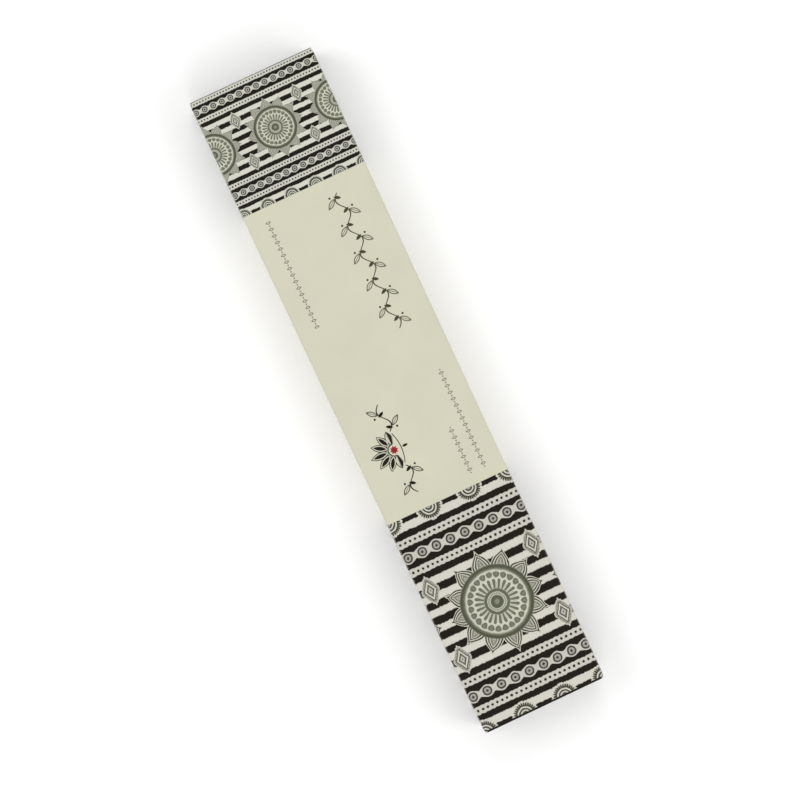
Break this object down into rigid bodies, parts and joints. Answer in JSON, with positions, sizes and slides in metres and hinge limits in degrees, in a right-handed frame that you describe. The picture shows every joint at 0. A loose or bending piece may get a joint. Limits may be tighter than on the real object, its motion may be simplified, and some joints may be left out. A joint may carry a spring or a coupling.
{
  "type": "incense stick carton",
  "caption": "Flat folding carton of printed paperboard: a long creased sleeve with a glued seam, tucked end closures that swing open and dust flaps behind them.",
  "frame": {"origin": "middle of the back panel's outer face, on which the carton lies", "axes": "+X along the carton towards the foot end, whose closure stands on the back panel; +Y across the wide panels to the right side; +Z out of the front panel"},
  "size_m": [0.235, 0.045, 0.018],
  "materials": {
    "printed_board": "coated board printed in cream and dark olive, soft satin",
    "flap_board": "coated board printed outside, bare grey-white inside"
  },
  "bodies": {
    "sleeve": {"sleeve": "printed_board"},
    "head_closure": {"head_closure": "printed_board"},
    "head_dust_flap_left": {"head_dust_flap_left": "flap_board"},
    "head_dust_flap_right": {"head_dust_flap_right": "flap_board"},
    "foot_closure": {"foot_closure": "printed_board"},
    "foot_dust_flap_left": {"foot_dust_flap_left": "flap_board"},
    "foot_dust_flap_right": {"foot_dust_flap_right": "flap_board"}
  },
  "joints": [
    {"name": "head_closure_hinge", "type": "hinge", "parent": "sleeve", "child": "head_closure", "pos_m": [-0.11695, 0, 0.01745], "axis": [0, 1, 0], "range_deg": [0, 105]},
    {"name": "head_dust_flap_left_hinge", "type": "hinge", "parent": "sleeve", "child": "head_dust_flap_left", "pos_m": [-0.11625, -0.0225, 0.009], "axis": [0, 0, 1], "range_deg": [0, 32]},
    {"name": "head_dust_flap_right_hinge", "type": "hinge", "parent": "sleeve", "child": "head_dust_flap_right", "pos_m": [-0.11625, 0.0225, 0.009], "axis": [0, 0, -1], "range_deg": [0, 32]},
    {"name": "foot_closure_hinge", "type": "hinge", "parent": "sleeve", "child": "foot_closure", "pos_m": [0.11695, 0, 0.00055], "axis": [0, 1, 0], "range_deg": [0, 90]},
    {"name": "foot_dust_flap_left_hinge", "type": "hinge", "parent": "sleeve", "child": "foot_dust_flap_left", "pos_m": [0.11625, -0.0225, 0.009], "axis": [0, 0, -1], "range_deg": [0, 32]},
    {"name": "foot_dust_flap_right_hinge", "type": "hinge", "parent": "sleeve", "child": "foot_dust_flap_right", "pos_m": [0.11625, 0.0225, 0.009], "axis": [0, 0, 1], "range_deg": [0, 32]}
  ],
  "couplings": [
    {"joint": "head_dust_flap_left_hinge", "follows": "head_closure_hinge", "ratio": 0.3},
    {"joint": "head_dust_flap_right_hinge", "follows": "head_closure_hinge", "ratio": 0.3},
    {"joint": "foot_dust_flap_left_hinge", "follows": "foot_closure_hinge", "ratio": 0.3},
    {"joint": "foot_dust_flap_right_hinge", "follows": "foot_closure_hinge", "ratio": 0.3}
  ]
}
